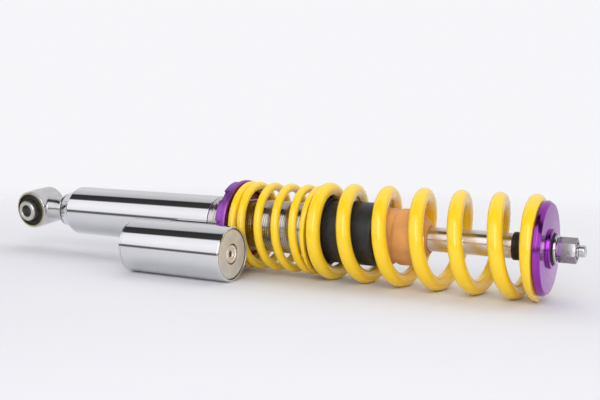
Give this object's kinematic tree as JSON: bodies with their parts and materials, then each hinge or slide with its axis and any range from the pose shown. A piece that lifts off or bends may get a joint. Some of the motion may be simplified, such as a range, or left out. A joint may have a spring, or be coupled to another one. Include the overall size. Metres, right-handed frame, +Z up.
{
  "type": "coilover",
  "caption": "Spring-over-damper suspension strut with a side gas reservoir, threaded lower perch, helper spring, bump stop and threaded rod end.",
  "frame": {"origin": "centre of the bounding box's footprint, on the surface the part lies on", "axes": "+X along the damper from the lower eye to the threaded rod end, +Y away from the reservoir, +Z up as it lies"},
  "size_m": [0.589, 0.1314, 0.0868],
  "materials": {
    "base_cap": "polished",
    "bump_stop": "tan microcellular foam",
    "bush_inner_sleeve": "turned, light grey zinc",
    "bush_outer_sleeve": "yellow zinc passivated",
    "bush_rubber": "smooth moulded",
    "compression_adjuster": "turned",
    "compression_shims": "blued spring steel",
    "damper_tube": "polished mirror, threaded upper half",
    "dust_tube": "satin black",
    "end_cap_o_ring": "smooth",
    "fill_plug": "turned, bright",
    "floating_piston": "turned",
    "floating_piston_seal": "smooth",
    "gland_ring": "satin black",
    "guide_bush": "sintered bronze",
    "head_o_ring": "smooth",
    "helper_spring": "gloss yellow powder coat",
    "lower_eye": "fine brushed, lightly burnished forging",
    "lower_perch": "purple anodised, satin",
    "main_spring": "gloss yellow powder coat",
    "metering_rod": "ground",
    "perch_bush": "moulded",
    "piston": "turned",
    "piston_band": "bronze-filled band",
    "piston_nut": "zinc plated",
    "piston_rod": "ground and polished",
    "rebound_adjuster": "turned",
    "rebound_shims": "blued spring steel",
    "reservoir_bridge": "satin",
    "reservoir_end_cap": "satin, fine turned rings",
    "reservoir_head": "polished mirror",
    "reservoir_tube": "polished mirror",
    "rod_collar": "black rubberised sleeve",
    "rod_guide": "turned",
    "rod_seal": "moulded",
    "slip_ring": "smooth nylon",
    "spring_adapter": "satin moulded nylon",
    "top_nut": "grey zinc",
    "top_out_bumper": "moulded",
    "top_washer": "bright zinc",
    "upper_perch": "purple anodised, turned, semi-gloss"
  },
  "bodies": {
    "damper_body": {"lower_eye": "lower_eye", "bush_outer_sleeve": "bush_outer_sleeve", "bush_rubber": "bush_rubber", "base_cap": "base_cap", "damper_tube": "damper_tube", "rod_guide": "rod_guide", "guide_bush": "guide_bush", "rod_seal": "rod_seal", "gland_ring": "gland_ring", "reservoir_bridge": "reservoir_bridge", "reservoir_tube": "reservoir_tube", "reservoir_head": "reservoir_head", "reservoir_end_cap": "reservoir_end_cap", "head_o_ring": "head_o_ring", "end_cap_o_ring": "end_cap_o_ring", "fill_plug": "fill_plug"},
    "inner_sleeve": {"bush_inner_sleeve": "bush_inner_sleeve"},
    "compression_screw": {"compression_adjuster": "compression_adjuster"},
    "helper_seat": {"slip_ring": "slip_ring", "helper_spring": "helper_spring"},
    "perch": {"lower_perch": "lower_perch"},
    "adapter": {"spring_adapter": "spring_adapter"},
    "rod_carrier": {"piston_band": "piston_band", "main_spring": "main_spring"},
    "rod": {"piston_rod": "piston_rod", "piston": "piston", "compression_shims": "compression_shims", "rebound_shims": "rebound_shims", "piston_nut": "piston_nut", "top_out_bumper": "top_out_bumper", "rod_collar": "rod_collar", "upper_perch": "upper_perch", "perch_bush": "perch_bush", "top_washer": "top_washer", "top_nut": "top_nut"},
    "rebound_screw": {"rebound_adjuster": "rebound_adjuster", "metering_rod": "metering_rod"},
    "bump": {"bump_stop": "bump_stop", "dust_tube": "dust_tube"},
    "gas_piston": {"floating_piston": "floating_piston", "floating_piston_seal": "floating_piston_seal"}
  },
  "joints": [
    {"name": "rod_stroke", "type": "slide", "parent": "damper_body", "child": "rod_carrier", "axis": [-1, 0, 0], "range_m": [0, 0.052], "stiffness_N_per_m": 20000, "springref_m": -0.01, "deforming": ["main_spring", "helper_spring"]},
    {"name": "rod_spin", "type": "hinge", "parent": "rod_carrier", "child": "rod", "pos_m": [0.2668, 0.0223, 0.0434], "axis": [1, 0, 0], "continuous": true},
    {"name": "rebound_click", "type": "hinge", "parent": "rod", "child": "rebound_screw", "pos_m": [0.2945, 0.0223, 0.0434], "axis": [1, 0, 0], "range_deg": [0, 720]},
    {"name": "compression_click", "type": "hinge", "parent": "damper_body", "child": "compression_screw", "pos_m": [-0.2223, 0.0054, 0.05164], "axis": [1, 0, 0], "range_deg": [0, 720]},
    {"name": "sleeve_twist", "type": "hinge", "parent": "damper_body", "child": "inner_sleeve", "pos_m": [-0.2748, 0.0223, 0.0434], "axis": [0, 0.9925, 0.1219], "range_deg": [-12, 12], "stiffness_Nm_per_rad": 2},
    {"name": "perch_height", "type": "slide", "parent": "damper_body", "child": "helper_seat", "axis": [-1, 0, 0], "range_m": [0, 0.0101]},
    {"name": "perch_turn", "type": "hinge", "parent": "helper_seat", "child": "perch", "pos_m": [-0.0269, 0.0223, 0.0434], "axis": [-1, 0, 0], "range_deg": [0, 1800]},
    {"name": "adapter_slide", "type": "slide", "parent": "damper_body", "child": "adapter", "axis": [-1, 0, 0], "range_m": [0, 0.033]},
    {"name": "bump_stop_slide", "type": "slide", "parent": "damper_body", "child": "bump", "axis": [1, 0, 0], "range_m": [0, 0.012]},
    {"name": "gas_piston_slide", "type": "slide", "parent": "damper_body", "child": "gas_piston", "axis": [1, 0, 0], "range_m": [0, 0.0118]}
  ],
  "couplings": [
    {"joint": "perch_height", "follows": "perch_turn", "m_per_rad": 0.00031831},
    {"joint": "adapter_slide", "follows": "rod_stroke", "ratio": 0.62},
    {"joint": "gas_piston_slide", "follows": "rod_stroke", "ratio": 0.2237}
  ]
}
